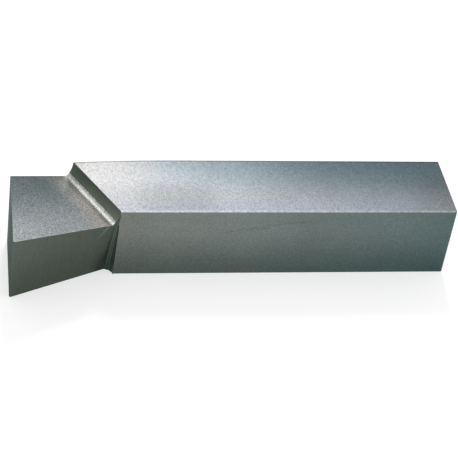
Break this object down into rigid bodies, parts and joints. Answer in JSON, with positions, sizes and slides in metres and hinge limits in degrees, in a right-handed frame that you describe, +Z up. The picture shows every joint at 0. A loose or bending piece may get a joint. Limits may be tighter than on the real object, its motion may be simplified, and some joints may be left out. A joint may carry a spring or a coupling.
{
  "type": "turning tool",
  "caption": "Square steel bar turning tool with a bent, ground cutting head, sunk rake face and hollow-ground step.",
  "frame": {"origin": "middle of the shank's seating face, which lies on the tool rest", "axes": "+X along the shank to its rear face, the head at -X; +Z up from the seating face; -Y to the side that the head is bent to"},
  "size_m": [0.1399, 0.0386, 0.025],
  "materials": {
    "tool_steel": "fine matt, blasted shank and ground head"
  },
  "bodies": {
    "root": {"turning_tool": "tool_steel"}
  },
  "joints": []
}
